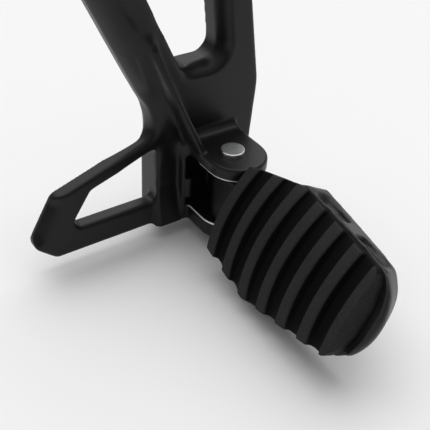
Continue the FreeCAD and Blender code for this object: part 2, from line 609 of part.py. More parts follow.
def build_clevis(body):
    """The clevis on the bracket: its root, both ears, the cast lug, the stop pad, the foot and the gusset."""
    bite = plate_front + d["plate_bite"]
    root_depth = bite - d["root_front"]
    root = [
        (-d["root_left"], ear_foot),
        (ear_right, ear_foot),
        (ear_right, slot_floor),
        (-d["cheek_inner"], slot_floor),
        (-d["cheek_inner"], ear_inner),
        (ear_right, ear_inner),
        (ear_right, ear_outer),
        (-d["root_left"], ear_outer),
    ]
    sketch = new_sketch(body, "root_outline", "XZ_Plane", -bite)
    add_polygon(sketch, root)
    pad(body, "clevis_root", sketch, root_depth)

    ears = (
        ("lower_ear", ear_foot, d["lower_nose"], d["lower_ear_thickness"]),
        ("upper_ear", ear_inner, -d["upper_nose"], d["upper_ear_thickness"]),
    )
    for name, foot, nose, thickness in ears:
        sketch = new_sketch(body, name + "_outline", "XY_Plane", foot)
        add_polygon(sketch, box(ear_left, nose, ear_right, d["root_front"] + d["plate_bite"]))
        pad(body, name, sketch, thickness)
        sketch = new_sketch(body, name + "_nose_outline", "XY_Plane", foot)
        add_circle(sketch, d["ear_centre"], nose, d["ear_half_width"])
        pad(body, name + "_nose", sketch, thickness)

    sketch = new_sketch(body, "root_fillet_outline", "YZ_Plane", ear_left)
    add_inner_corner(sketch, plate_front, ear_outer, d["root_round"], d["plate_bite"])
    pad(body, "root_fillet", sketch, ear_right - ear_left)
    foot_sketch = new_sketch(body, "gusset_foot", "XY_Plane", ear_outer - d["gusset_foot_sink"])
    add_polygon(foot_sketch, box(ear_left, d["gusset_foot_front"], -d["gusset_foot_right"], bite))
    head_sketch = new_sketch(body, "gusset_head", "XY_Plane", d["gusset_head_height"])
    add_polygon(head_sketch, box(-d["gusset_head_left"], plate_front - d["gusset_head_rise"],
                                 -d["gusset_head_right"], bite))
    loft(body, "gusset", foot_sketch, head_sketch)
    base_front = plate_front - d["base_rise"]
    foot_sketch = new_sketch(body, "slab_foot", "XY_Plane", ear_inner)
    add_polygon(foot_sketch, box(-d["root_left"], base_front, -d["cheek_inner"], bite))
    head_sketch = new_sketch(body, "slab_head", "XY_Plane", d["gusset_head_height"])
    add_polygon(head_sketch, box(-d["base_head_left"], base_front, -d["gusset_head_right"], bite))
    loft(body, "gusset_slab", foot_sketch, head_sketch)

    low_sketch = new_sketch(body, "foot_spread", "XY_Plane", ear_foot)
    add_polygon(low_sketch, bevelled(-d["foot_left"], d["root_front"], -d["foot_inner"], bite, d["foot_bevel"]))
    high_sketch = new_sketch(body, "foot_rise", "XY_Plane", -d["foot_start"])
    add_polygon(high_sketch, bevelled(-d["column_left"], plate_front, -d["foot_inner"], bite, d["foot_start_bevel"]))
    loft(body, "column_foot", low_sketch, high_sketch)

    sketch = new_sketch(body, "lug_outline", "XZ_Plane", -bite)
    add_polygon(sketch, box(-d["cheek_inner"], -d["lug_bottom"], -d["lug_inner"], d["lug_top"]))
    pad(body, "lug", sketch, bite - d["lug_front"])

    sketch = new_sketch(body, "stop_outline", "XZ_Plane", -bite)
    add_polygon(sketch, box(d["stop_left"], -d["stop_height"] / 2, d["stop_right"], d["stop_height"] / 2))
    pad(body, "stop_pad", sketch, bite - d["heel_back"])

    round_clevis(body)

    sketch = new_sketch(body, "pin_bore_outline", "XY_Plane", ear_foot)
    add_circle(sketch, ZERO, ZERO, d["pin_radius"] + d["ear_bore_clearance"])
    pocket(body, "pin_bore", sketch, ear_outer - ear_foot, reverse=True)

    for name, angle in (("rest_dimple", ZERO), ("folded_dimple", d["fold_angle"])):
        dimple = body.newObject("PartDesign::SubtractiveSphere", name)
        dimple.AttachmentSupport = [(origin_plane(body, "XY_Plane"), "")]
        dimple.MapMode = "FlatFace"
        radius = d["ball_radius"] + d["dimple_clearance"]
        bind(dimple, "Radius", radius)
        bind(dimple, "AttachmentOffset.Base.z", ear_inner + d["dimple_depth"] - radius)
        orbit = d["ball_orbit"].text
        dimple.setExpression("AttachmentOffset.Base.x", f"-{orbit} * sin({angle.text} * 1deg)")
        dimple.setExpression("AttachmentOffset.Base.y", f"-{orbit} * cos({angle.text} * 1deg)")
        settle(dimple)


def round_clevis(body):
    """Rounds the clevis where it meets the plate and along its free edges, and bares the ears' inner edges."""
    round_edges(body, "cheek_edge", d["cheek_round"], corner_test(2, [(-d["root_left"], d["root_front"])]))
    round_edges(body, "gusset_ridges", d["gusset_round"], gusset_ridge)
    for name, level in (("upper_bare_edge", ear_inner), ("lower_bare_edge", slot_floor)):
        finish_edges(body, "PartDesign::Chamfer", name, "Size", d["ear_bare_edge"],
                     lambda edge: on_level(edge, 2, level.value) and ear_outline(edge))
    round_edges(body, "upper_ear_edge", d["ear_top_round"],
                lambda edge: on_level(edge, 2, ear_outer.value) and ear_outline(edge))


def gusset_ridge(edge):
    """Says whether an edge is one of the two slanting front ridges of the gusset."""
    if len(edge.Vertexes) != 2:
        return False
    low, high = sorted((vertex.Point for vertex in edge.Vertexes), key=lambda point: point.z)
    rise = high.z - low.z
    return rise > 20 and high.x < low.x - 5 and high.y > low.y + 5 and high.y < plate_front.value + 0.5


def ear_outline(edge):
    """Says whether an edge follows the free outline of an ear."""
    if edge.Curve.TypeId == "Part::GeomCircle":
        return near(edge.Curve.Radius, d["ear_half_width"].value)
    return upright(edge, 1) and any(near(edge.CenterOfMass.x, side.value) for side in (ear_left, ear_right))


def peg_plan(corners):
    """Returns a closed plan of the peg from corners given as a place outwards, a half width and a middle."""
    lower = [(x, middle - half) for x, half, middle in corners]
    upper = [(x, middle + half) for x, half, middle in reversed(corners)]
    return lower + upper


def wall_line(x, margin):
    """Returns the two sides of the peg's plan at a place between its widest point and its shoulder."""
    share = (x - d["pad_wide"]) / (d["pad_shoulder"] - d["pad_wide"])
    half = d["pad_wide_half"] + margin + (d["pad_shoulder_half"] - d["pad_wide_half"]) * share
    middle = pad_middle + (end_middle - pad_middle) * share
    return middle - half, middle + half


def build_peg_body():
    """The peg's casting: tray, raised end rim, side pockets, hollows below and the tongue in the clevis."""
    body = new_body("peg_body")
    inner = (d["tray_start"], d["tray_start_half"], pad_middle)
    sections = []
    tray_corners = [
        (d["tray_bow"], d["tray_bow_half"], tray_middle),
        (d["tray_shoulder"], d["tray_shoulder_half"], tray_middle),
    ]
    keel_corners = [
        (d["keel_bow"], d["keel_bow_half"], end_middle),
        (d["keel_shoulder"], d["keel_shoulder_half"], end_middle),
    ]
    for name, level, inset, corners, end, middle in (
        ("keel_outline", seat - d["tray_depth"], d["keel_inset"], keel_corners, d["keel_end"], end_middle),
        ("tray_outline", seat, ZERO, tray_corners, d["tray_end"], tray_middle),
    ):
        wide = (d["pad_wide"], d["pad_wide_half"] + d["tray_ledge"] - inset, pad_middle)
        plan = peg_plan([inner, wide] + corners[::-1])
        sketch = new_sketch(body, name, "XY_Plane", level)
        add_bowed(sketch, plan[4:] + plan[:4], end, middle)
        sections.append(sketch)
    loft(body, "tray", *sections)

    sketch = new_sketch(body, "rim_outline", "XY_Plane", seat)
    gap = d["rim_gap"]
    tray_end_plan = peg_plan(tray_corners)
    inside = peg_plan([
        (d["pad_shoulder"] + gap, d["pad_shoulder_half"] + gap / 2, end_middle),
        (d["pad_bow"] + gap, d["pad_bow_half"] + gap / 2, end_middle),
        (d["pad_end"] + gap, d["pad_end_half"], end_middle),
    ])
    low_side = [corner[::-1] for corner in tray_end_plan[:2]]
    low_start = line_at(low_side[1], low_side[0], inside[1][0])
    add_bowed(sketch, [
        tray_end_plan[3], tray_end_plan[2], inside[5], inside[4], inside[3], inside[2],
        (inside[1][0], low_start), tray_end_plan[0],
    ], d["tray_end"], tray_middle)
    pad(body, "end_rim", sketch, d["rim_height"])
    rim_top = seat + d["rim_height"]
    round_edges(body, "rim_outer_edge", d["rim_round"],
                lambda edge: on_level(edge, 2, rim_top.value) and edge.Curve.TypeId == "Part::GeomCircle")
    beyond = d["pad_wide_half"] * 2

    pocket_foot = seat - d["pocket_lip"] - d["pocket_height"]
    pocket_corners = []
    for number in range(2):
        start = d["pocket_first"] + (d["pocket_length"] + d["pocket_post"]) * number
        end = start + d["pocket_length"]
        sketch = new_sketch(body, f"side_pocket_outline_{number + 1}", "XY_Plane", seat - d["pocket_lip"])
        near_sides = wall_line(start, d["tray_ledge"] - d["pocket_depth"])
        far_sides = wall_line(end, d["tray_ledge"] - d["pocket_depth"])
        for side, limit in ((0, -beyond), (1, beyond)):
            add_polygon(sketch, [
                (start, near_sides[side]), (end, far_sides[side]), (end, limit), (start, limit),
            ])
        pocket(body, f"side_pockets_{number + 1}", sketch, d["pocket_height"])
        pocket_corners += [(start, pocket_foot), (end, pocket_foot)]
    round_edges(body, "pocket_corners", d["pocket_round"], corner_test(1, pocket_corners))

    for number in range(3):
        start = d["hollow_start"] + (d["hollow_length"] + d["hollow_rib"]) * number
        end = start + (d["hollow_length"] if number < 2 else d["hollow_last_length"])
        sketch = new_sketch(body, f"hollow_outline_{number + 1}", "XY_Plane", seat - d["tray_depth"])
        inset = d["tray_ledge"] - d["hollow_wall"]
        if start.value < d["pad_wide"].value:
            near_sides = (pad_middle - d["hollow_first_half"], pad_middle + d["hollow_first_half"])
        else:
            near_sides = wall_line(start, inset)
        far_sides = wall_line(end, inset)
        add_polygon(sketch, [
            (start, near_sides[0]), (end, far_sides[0]), (end, far_sides[1]), (start, near_sides[1]),
        ])
        pocket(body, f"hollow_{number + 1}", sketch, d["tray_depth"] - d["hollow_roof"], reverse=True)

    build_tongue(body)

    sketch = new_sketch(body, "screw_holes_outline", "XY_Plane", seat)
    for place in screw_places:
        add_circle(sketch, place, pad_middle, d["screw_radius"] + d["screw_hole_clearance"])
    pocket(body, "screw_holes", sketch, d["hollow_roof"])
    return body


def build_tongue(body):
    """The peg's tongue with its rounded heel and stop, its pin bore and the detent's blind bore."""
    across = d["pad_tilt"]
    sketch = new_sketch(body, "tongue_outline", "XZ_Plane", -tongue_top, turn=across)
    half = d["tongue_half"]
    heel = d["heel_gap"] - d["heel_back"]
    add_polygon(sketch, [
        (d["tongue_end"], half), (ZERO, half), (ZERO, ZERO), (heel, ZERO), (heel, -half), (d["tongue_end"], -half),
    ])
    pad(body, "tongue", sketch, tongue_height)
    sketch = new_sketch(body, "heel_outline", "XZ_Plane", -tongue_top, turn=across)
    add_circle(sketch, ZERO, ZERO, half)
    pad(body, "heel", sketch, tongue_height)

    sketch = new_sketch(body, "pad_clearance_outline", "XY_Plane", seat)
    beyond = d["pad_wide_half"] * 2
    add_polygon(sketch, box(d["pad_start"], -beyond, d["pad_shoulder"], beyond))
    pocket(body, "pad_clearance", sketch, beyond, reverse=True)

    sketch = new_sketch(body, "pin_bore_outline", "XZ_Plane", -tongue_top, turn=across)
    add_circle(sketch, ZERO, ZERO, d["pin_radius"] + d["tongue_bore_clearance"])
    pocket(body, "pin_bore", sketch, tongue_height, reverse=True)

    sketch = new_sketch(body, "detent_bore_outline", "XZ_Plane", -tongue_top, turn=across)
    add_circle(sketch, d["ball_orbit"], ZERO, d["ball_radius"] + d["ball_bore_clearance"])
    pocket(body, "detent_bore", sketch, d["ball_bore_depth"], reverse=True)


def build_rubber_pad():
    """The ribbed rubber: a crowned block cut by a row of asymmetric grooves, trimmed to the peg's plan."""
    body = new_body("rubber_pad")
    axis_height = d["crown_top"] - d["crown_radius"]
    start = d["pad_start"]
    end = d["pad_end"]
    radius = d["crown_radius"]
    core = seat - axis_height - d["crown_radius"] / 4

    def crown_sketch(name, axis):
        sketch = new_sketch(body, name, "XZ_Plane", d["pad_shift"])
        bind(sketch, "AttachmentOffset.Base.y", axis)
        return sketch

    sketch = crown_sketch("crown_profile", axis_height)
    add_polygon(sketch, [
        (start, core), (end, core), (end, radius - d["pad_slope_drop"]), (d["pad_slope_start"], radius), (start, radius),
    ])
    wide_angle = 80.0
    turned(body, "crown", sketch, wide_angle)

    edge = d["crest_first"]
    floor = d["groove_floor_radius"]
    crest = floor + d["groove_depth"]
    top = crest + d["groove_depth"]
    sketch = crown_sketch("groove_profile", d["crown_top"] - crest)
    add_polygon(sketch, [
        (edge, top), (edge, crest), (edge + d["groove_steep"], floor),
        (edge + d["groove_steep"] + d["groove_floor"], floor),
        (edge + d["groove_width"] - d["groove_lip"], crest - d["groove_lip_depth"]),
        (edge + d["groove_width"], crest), (edge + d["groove_width"], top),
    ])
    groove = body.newObject("PartDesign::Groove", "first_groove")
    groove.Profile = sketch
    groove.ReferenceAxis = (sketch, ["H_Axis"])
    groove.Angle = wide_angle + 10
    groove.Midplane = True
    settle(groove)
    grooves = body.newObject("PartDesign::LinearPattern", "grooves")
    grooves.Originals = [groove]
    grooves.Direction = (sketch, ["H_Axis"])
    bind(grooves, "Length", d["rib_pitch"] * 5)
    grooves.Occurrences = 6
    body.Tip = grooves
    settle(grooves)

    plan = peg_plan([
        (d["pad_start"], d["pad_start_half"], pad_middle),
        (d["pad_wide"], d["pad_wide_half"], pad_middle),
        (d["pad_shoulder"], d["pad_shoulder_half"], end_middle),
        (d["pad_bow"], d["pad_bow_half"], end_middle),
        (d["pad_end"], d["pad_end_half"], end_middle),
    ])
    far = d["crown_radius"] * 3
    sketch = new_sketch(body, "plan_outline", "XY_Plane", seat)
    add_polygon(sketch, box(-far, -far, far, far))
    add_polygon(sketch, plan)
    pocket(body, "plan_trim", sketch, far * 2, both=True)
    sketch = new_sketch(body, "base_outline", "XY_Plane", seat)
    add_polygon(sketch, box(-far, -far, far, far))
    pocket(body, "base_trim", sketch, far)
    round_edges(body, "plan_corners", d["pad_corner_round"], corner_test(2, plan[2:8]))

    sketch = new_sketch(body, "insert_sockets_outline", "XY_Plane", seat)
    for place in screw_places:
        add_circle(sketch, place, pad_middle, d["insert_radius"])
    pocket(body, "insert_sockets", sketch, d["insert_height"], reverse=True)
    return body


def build_pivot_pin():
    """The headed pivot pin with its clip groove."""
    body = new_body("pivot_pin")
    top = ear_outer + d["pin_head_height"]
    groove_top = ear_foot - d["washer_thickness"]
    groove_foot = groove_top - d["clip_thickness"]
    sketch = new_sketch(body, "pin_profile", "YZ_Plane")
    sketch.AttachmentOffset = FreeCAD.Placement(
        FreeCAD.Vector(), FreeCAD.Rotation(FreeCAD.Vector(0, 0, 1), 90))
    add_polygon(sketch, [
        (top, ZERO), (top, d["pin_head_radius"]), (ear_outer, d["pin_head_radius"]), (ear_outer, d["pin_radius"]),
        (groove_top, d["pin_radius"]), (groove_top, d["groove_radius"]),
        (groove_foot, d["groove_radius"]), (groove_foot, d["pin_radius"]),
        (groove_foot - d["pin_tail"], d["pin_radius"]), (groove_foot - d["pin_tail"], ZERO),
    ])
    turned(body, "pin", sketch)
    round_edges(body, "head_edge", d["pin_head_round"], lambda edge: on_level(edge, 2, top.value))
    finish_edges(body, "PartDesign::Chamfer", "tail_edge", "Size", d["pin_tail_chamfer"],
                 lambda edge: on_level(edge, 2, (groove_foot - d["pin_tail"]).value))
    return body


def build_pin_washer():
    """The plain washer below the lower ear."""
    body = new_body("pin_washer")
    sketch = new_sketch(body, "washer_outline", "XY_Plane", ear_foot - d["washer_thickness"])
    add_circle(sketch, ZERO, ZERO, d["washer_radius"])
    add_circle(sketch, ZERO, ZERO, d["pin_radius"] + d["tongue_bore_clearance"])
    pad(body, "washer", sketch, d["washer_thickness"])
    return body


def build_pin_clip():
    """The open clip in the pin's groove."""
    body = new_body("pin_clip")
    foot = ear_foot - d["washer_thickness"] - d["clip_thickness"]
    sketch = new_sketch(body, "clip_outline", "XY_Plane", foot)
    add_circle(sketch, ZERO, ZERO, d["clip_radius"])
    add_circle(sketch, ZERO, ZERO, d["groove_radius"])
    pad(body, "clip", sketch, d["clip_thickness"])
    sketch = new_sketch(body, "clip_mouth_outline", "XY_Plane", foot)
    add_polygon(sketch, box(-d["clip_mouth"] / 2, -d["clip_radius"] * 2, d["clip_mouth"] / 2, ZERO))
    pocket(body, "clip_mouth", sketch, d["clip_thickness"], reverse=True)
    return body


def build_detent_ball():
    """The ball that snaps into the ear's dimples."""
    ball = doc.addObject("Part::Sphere", "detent_ball")
    ball.Label = "detent_ball"
    bind(ball, "Radius", d["ball_radius"])
    return ball


def build_detent_spring():
    """The spring that pushes the ball, drawn upwards from the bottom of its bore."""
    body = new_body("detent_spring")
    sketch = new_sketch(body, "wire_outline", "XZ_Plane")
    add_polygon(sketch, box(spring_bore, ZERO, spring_bore + d["spring_wire"], d["spring_wire"]))
    coil = body.newObject("PartDesign::AdditiveHelix", "coil")
    coil.Profile = sketch
    coil.ReferenceAxis = (sketch, ["V_Axis"])
    coil.Mode = "height-turns-angle"
    bind(coil, "Height", spring_height - d["spring_wire"])
    bind(coil, "Turns", d["spring_turns"])
    settle(coil)
    return body


def build_pad_screws():
    """The two socket screws that hold the rubber from below."""
    parts = []
    for place in screw_places:
        bottom = hollow_top - d["screw_head_height"]
        head = Part.makeCylinder(d["screw_head_radius"].value, d["screw_head_height"].value,
                                 FreeCAD.Vector(place.value, pad_middle.value, bottom.value))
        shank_length = (insert_top - d["screw_tip_gap"] - hollow_top).value
        shank = Part.makeCylinder(d["screw_radius"].value, shank_length,
                                  FreeCAD.Vector(place.value, pad_middle.value, hollow_top.value))
        key = d["screw_socket"].value
        socket = Part.makeBox(2 * key, 2 * key, d["screw_socket_depth"].value,
                              FreeCAD.Vector(place.value - key, pad_middle.value - key, bottom.value))
        parts.append(head.fuse(shank).cut(socket).removeSplitter())
    return feature_of("pad_screws", parts)


def build_pad_inserts():
    """The two threaded bushes bonded into the rubber."""
    parts = []
    for place in screw_places:
        base = FreeCAD.Vector(place.value, pad_middle.value, seat.value)
        bush = Part.makeCylinder(d["insert_radius"].value, d["insert_height"].value, base)
        thread = Part.makeCylinder(d["screw_radius"].value, d["insert_height"].value, base)
        parts.append(bush.cut(thread))
    return feature_of("pad_inserts", parts)


def feature_of(label, solids):
    """Makes one piece of several separate solids."""
    feature = doc.addObject("Part::Feature", label)
    feature.Label = label
    feature.Shape = Part.makeCompound(solids)
    return feature


pivot_place = FreeCAD.Vector(d["pivot_right"].value, -plate_back.value, -d["pivot_drop"].value)
clevis_frame = FreeCAD.Placement(pivot_place, FreeCAD.Rotation())
peg_turn = FreeCAD.Rotation(FreeCAD.Vector(0, 0, 1), -90).multiply(
    FreeCAD.Rotation(FreeCAD.Vector(1, 0, 0), 90 - d["pad_tilt"].value))
peg_frame = FreeCAD.Placement(pivot_place, peg_turn)

detent_axis = pivot_place + FreeCAD.Vector(0, -d["ball_orbit"].value, 0)
ball_frame = FreeCAD.Placement(
    detent_axis + FreeCAD.Vector(0, 0, ball_rest.value), FreeCAD.Rotation())
spring_frame = FreeCAD.Placement(
    detent_axis + FreeCAD.Vector(0, 0, spring_foot.value), FreeCAD.Rotation())

pieces = [
    (build_bracket, clevis_frame),
    (build_pivot_pin, clevis_frame),
    (build_pin_washer, clevis_frame),
    (build_pin_clip, clevis_frame),
    (build_peg_body, peg_frame),
    (build_rubber_pad, peg_frame),
    (build_pad_screws, peg_frame),
    (build_pad_inserts, peg_frame),
    (build_detent_ball, ball_frame),
    (build_detent_spring, spring_frame),
]
built = []
for build, frame in pieces:
    piece = build()
    piece.Placement = frame
    built.append(piece)
doc.recompute()

for thing in doc.Objects:
    if "Invalid" in thing.State or "Error" in thing.State:
        raise RuntimeError(f"{thing.Label} failed: {thing.State}")
for piece in built:
    if piece.Shape.isNull() or not piece.Shape.isValid():
        raise RuntimeError(f"{piece.Label} has no valid shape")

os.makedirs("parts", exist_ok=True)
for piece in built:
    piece.Shape.exportStep(f"parts/{piece.Label}.step")
    print(piece.Label, len(piece.Shape.Solids), "solids", round(piece.Shape.Volume / 1000, 2), "cm3")
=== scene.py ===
"""Studio scene of a folding passenger footpeg: cast hanger bracket, headed pivot pin and rubber-topped peg.

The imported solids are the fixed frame. The two castings and the rubber moulding get softened skins and the
spring a wound coil, which stand for their solids, and every piece gets a procedural finish. Lengths are in
metres unless a name ends in _mm.
"""
import logging
import math
from dataclasses import dataclass, field
from enum import Enum
from typing import Any, Optional, Union

import bmesh
import bpy
from mathutils import Matrix, Vector


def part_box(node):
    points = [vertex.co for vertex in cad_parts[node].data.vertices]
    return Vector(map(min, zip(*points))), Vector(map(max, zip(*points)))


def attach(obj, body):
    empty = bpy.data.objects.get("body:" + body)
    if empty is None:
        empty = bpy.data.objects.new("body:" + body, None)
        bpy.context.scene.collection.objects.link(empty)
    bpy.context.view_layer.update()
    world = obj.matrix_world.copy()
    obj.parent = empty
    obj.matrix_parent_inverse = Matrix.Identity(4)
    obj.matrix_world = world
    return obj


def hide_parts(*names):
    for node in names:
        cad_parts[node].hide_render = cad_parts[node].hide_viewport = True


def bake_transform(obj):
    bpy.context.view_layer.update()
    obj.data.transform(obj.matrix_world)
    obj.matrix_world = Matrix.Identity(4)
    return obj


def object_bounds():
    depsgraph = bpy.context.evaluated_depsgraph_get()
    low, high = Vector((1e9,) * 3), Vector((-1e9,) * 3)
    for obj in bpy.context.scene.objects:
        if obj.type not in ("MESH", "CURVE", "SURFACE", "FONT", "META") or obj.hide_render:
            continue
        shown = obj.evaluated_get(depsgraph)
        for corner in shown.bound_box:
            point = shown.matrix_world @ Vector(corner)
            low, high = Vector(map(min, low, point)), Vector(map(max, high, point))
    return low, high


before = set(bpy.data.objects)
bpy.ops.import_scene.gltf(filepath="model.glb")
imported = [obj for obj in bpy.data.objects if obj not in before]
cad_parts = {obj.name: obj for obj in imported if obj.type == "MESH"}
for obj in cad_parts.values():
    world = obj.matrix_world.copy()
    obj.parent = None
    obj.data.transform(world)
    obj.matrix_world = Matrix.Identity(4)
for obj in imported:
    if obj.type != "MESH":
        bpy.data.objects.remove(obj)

LOG = logging.getLogger("footpeg")
CAD_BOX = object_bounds()
MM = 0.001
# How far a skin's point moves towards its neighbours in one turn
EVENING_SHARE = 0.5

Colour = tuple[float, float, float]
Flat = tuple[float, float]
Number = Union[int, float]
Key = Union[str, int]


class Smoothing(Enum):
    """How many turns a skin's facets are evened out after it is rebuilt."""

    MOULDED = 6
    CAST = 9


@dataclass(frozen=True)
class SoftSpot:
    """A stretch of a casting whose edges run out more softly than elsewhere.

    Attributes:
        centre_mm: Its middle, seen from the pivot.
        reach_mm: How far it reaches.
        turns: How many turns its facets are evened out.
    """

    centre_mm: tuple[float, float, float]
    reach_mm: float
    turns: int


@dataclass(frozen=True)
class EdgeRoll:
    """A front edge of the casting that rolls over broadly towards the outside.

    Attributes:
        path_mm: A path in the plate's plane, seen from the pivot, as x and z.
        round_mm: How far the edge lies from the path.
        back_mm: The casting's back face, behind the pivot.
        width_mm: How far the roll reaches into the front face.
        share: How much of the depth the roll takes at the edge.
        fade: The share of the path over which the roll sets in at each end.
    """

    path_mm: tuple[Flat, ...]
    round_mm: float
    back_mm: float
    width_mm: float
    share: float
    fade: float


@dataclass(frozen=True)
class CornerWeb:
    """A web that fills the corner between two edges of the casting with a hollow curve.

    Attributes:
        corner_mm: Where the edges meet, in the plate's plane seen from the pivot, as x and z.
        first: The direction of the first edge from there.
        second: The direction of the second edge from there.
        radius_mm: The hollow curve's radius.
        front_mm: The web's front face, behind the pivot.
        first_back_mm: Its back face at the first edge.
        second_back_mm: Its back face at the second edge.
        overlap_mm: How far it reaches into the casting.
        steps: The number of faces of its curve.
    """

    corner_mm: Flat
    first: Flat
    second: Flat
    radius_mm: float
    front_mm: float
    first_back_mm: float
    second_back_mm: float
    overlap_mm: float = 2.0
    steps: int = 12


@dataclass(frozen=True)
class Pivot:
    """Where the pivot lies in the row frame, and how the peg's face is turned about the peg's axis."""

    x_mm: float = 25.0
    y_mm: float = -34.0
    z_mm: float = -117.5
    tilt_deg: float = 28.63

    def place(self) -> Vector:
        """Returns the pivot's place in metres."""
        return Vector((self.x_mm, self.y_mm, self.z_mm)) * MM

    def along(self) -> Vector:
        """Returns the direction outwards along the peg."""
        return Vector((0.0, -1.0, 0.0))

    def across(self) -> Vector:
        """Returns the direction along the ribs."""
        tilt = math.radians(self.tilt_deg)
        return Vector((math.sin(tilt), 0.0, math.cos(tilt)))

    def outwards(self) -> Vector:
        """Returns the direction out of the rubber's face."""
        tilt = math.radians(self.tilt_deg)
        return Vector((-math.cos(tilt), 0.0, math.sin(tilt)))


PIVOT = Pivot()
X, Y, Z = (Vector(axis) for axis in ((1.0, 0.0, 0.0), (0.0, 1.0, 0.0), (0.0, 0.0, 1.0)))


class Sock:
    """A node's output that takes part in Python arithmetic by adding Math nodes."""

    def __init__(self, bench: "NodeBench", socket: bpy.types.NodeSocket) -> None:
        """Wraps a socket.

        Args:
            bench: The tree under construction.
            socket: The output socket to wrap.
        """
        self.bench = bench
        self.socket = socket

    def _math(self, operation: str, *values: Union["Sock", Number]) -> "Sock":
        """Adds a Math node.

        Args:
            operation: The Math node's operation.
            values: What goes into its sockets, in order.

        Returns:
            The node's result.
        """
        return self.bench.node("ShaderNodeMath", {"operation": operation}, dict(enumerate(values)))

    def __add__(self, other: Union["Sock", Number]) -> "Sock":
        """Adds."""
        return self._math("ADD", self, other)

    __radd__ = __add__

    def __sub__(self, other: Union["Sock", Number]) -> "Sock":
        """Subtracts."""
        return self._math("SUBTRACT", self, other)

    def __rsub__(self, other: Number) -> "Sock":
        """Subtracts from a number."""
        return self._math("SUBTRACT", other, self)

    def __mul__(self, other: Union["Sock", Number]) -> "Sock":
        """Multiplies."""
        return self._math("MULTIPLY", self, other)

    __rmul__ = __mul__

    def __pow__(self, power: Number) -> "Sock":
        """Raises to a power."""
        return self._math("POWER", self, power)

    def root(self) -> "Sock":
        """Returns the square root."""
        return self._math("SQRT", self)

    def most(self, other: Union["Sock", Number]) -> "Sock":
        """Returns the larger of two values."""
        return self._math("MAXIMUM", self, other)

    def ramp(self, low: float, high: float) -> "Sock":
        """Maps a stretch of values smoothly to 0 to 1.

        Args:
            low: Where the result starts to leave 0, or reaches it if low is above high.
            high: Where the result reaches 1.

        Returns:
            The smoothed value.
        """
        flip = low > high
        first, last = (high, low) if flip else (low, high)
        smooth = self.bench.node(
            "ShaderNodeMapRange", {"interpolation_type": "SMOOTHSTEP"},
            {"Value": self, "From Min": first, "From Max": last, "To Min": 0.0, "To Max": 1.0})
        return 1.0 - smooth if flip else smooth

    def dot(self, direction: Vector) -> "Sock":
        """Returns how far a point lies along a direction."""
        return self.bench.node(
            "ShaderNodeVectorMath", {"operation": "DOT_PRODUCT"}, {0: self, 1: tuple(direction)}, out="Value")

    def from_pivot(self, *axes: Vector) -> tuple["Sock", ...]:
        """Gives a point's place along some axes through the pivot.

        Args:
            axes: The axes.

        Returns:
            The distances along them, in millimetres.
        """
        home = PIVOT.place()
        return tuple((self.dot(axis) - home.dot(axis)) * (1 / MM) for axis in axes)


class NodeBench:
    """A node tree whose nodes are added one call at a time."""

    def __init__(self, tree: bpy.types.NodeTree) -> None:
        """Starts on a tree.

        Args:
            tree: The tree, which is emptied.
        """
        self.tree = tree
        tree.nodes.clear()

    def node(self, kind: str, settings: Optional[dict[str, Any]] = None,
             inputs: Optional[dict[Key, Any]] = None, out: Optional[Key] = 0) -> Optional[Sock]:
        """Adds a node, sets it up and feeds its sockets.

        Args:
            kind: The node's type.
            settings: Its properties, set first.
            inputs: Values or wrapped sockets for its inputs, by name or number.
            out: The output that is returned, by name or number, or None for a node without one.

        Returns:
            The chosen output.
        """
        node = self.tree.nodes.new(kind)
        for key, value in (settings or {}).items():
            setattr(node, key, value)
        for key, value in (inputs or {}).items():
            self.feed(node.inputs[key], value)
        return None if out is None else Sock(self, node.outputs[out])

    def feed(self, socket: bpy.types.NodeSocket, value: Any) -> None:
        """Links wrapped sockets to an input, or sets the input's value.

        Args:
            socket: The input.
            value: A wrapped socket, a list of them, a number or a tuple.
        """
        if isinstance(value, list):
            for part in value:
                self.feed(socket, part)
        elif isinstance(value, Sock):
            self.tree.links.new(value.socket, socket)
        elif isinstance(value, tuple) and socket.type == "RGBA" and len(value) == 3:
            socket.default_value = (*value, 1.0)
        else:
            socket.default_value = value


